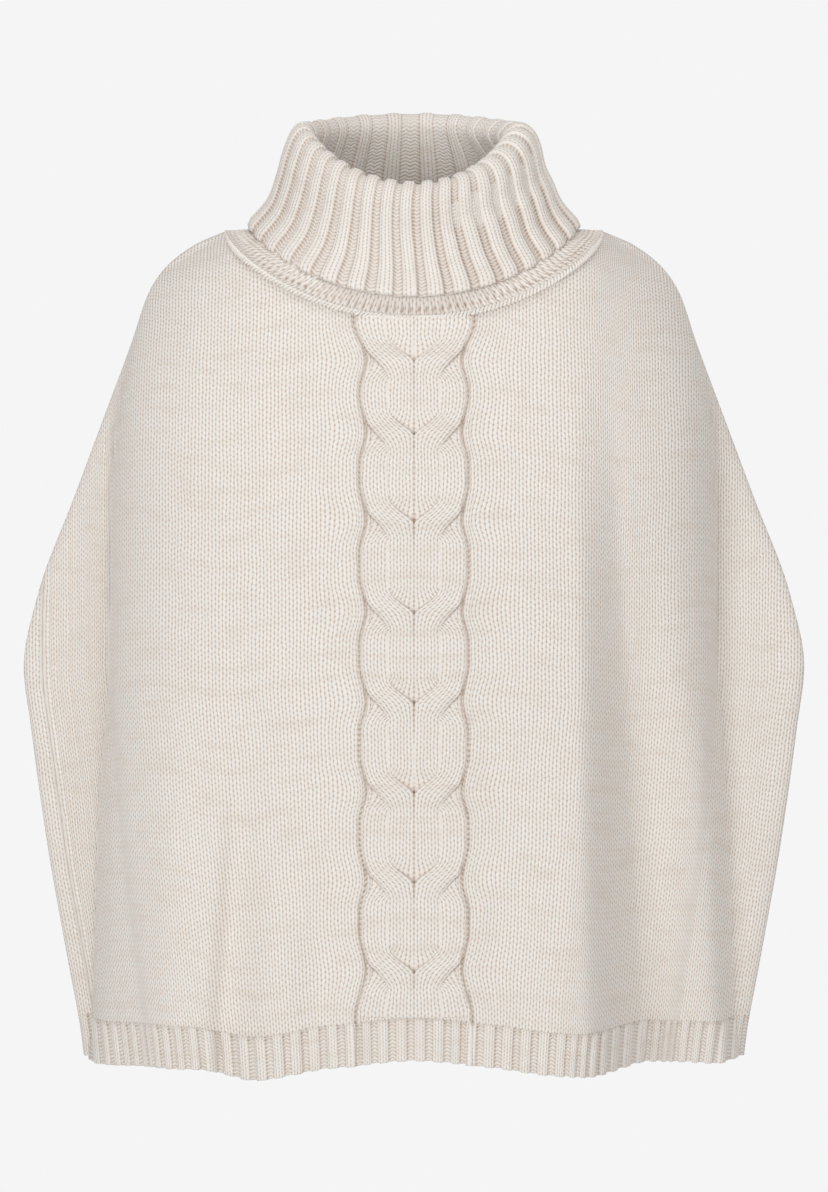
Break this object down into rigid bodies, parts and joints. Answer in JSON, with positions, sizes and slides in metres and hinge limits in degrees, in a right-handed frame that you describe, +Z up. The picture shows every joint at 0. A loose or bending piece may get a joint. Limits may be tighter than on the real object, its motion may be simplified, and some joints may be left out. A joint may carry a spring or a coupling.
{
  "type": "knitted poncho sweater",
  "caption": "Cream knitted poncho sweater with a folded roll collar, a cable down the front and ribbed hems, filled out as worn.",
  "frame": {"origin": "middle of the neck at the height of the shoulders, where the wearer holds it up", "axes": "+Z up, the front faces -Y, the wearer's left arm is on the +X side"},
  "size_m": [0.6248, 0.2967, 0.7593],
  "materials": {
    "stockinette": "heathered cream and oat wool, plain knit stitches",
    "neckband": "heathered cream and oat wool, picked-up band",
    "rib": "heathered cream and oat wool, knit and purl rib"
  },
  "bodies": {
    "root": {"front": "stockinette", "back": "stockinette", "neckband": "neckband", "collar": "rib", "hem_front": "rib", "hem_back": "rib"}
  },
  "joints": []
}
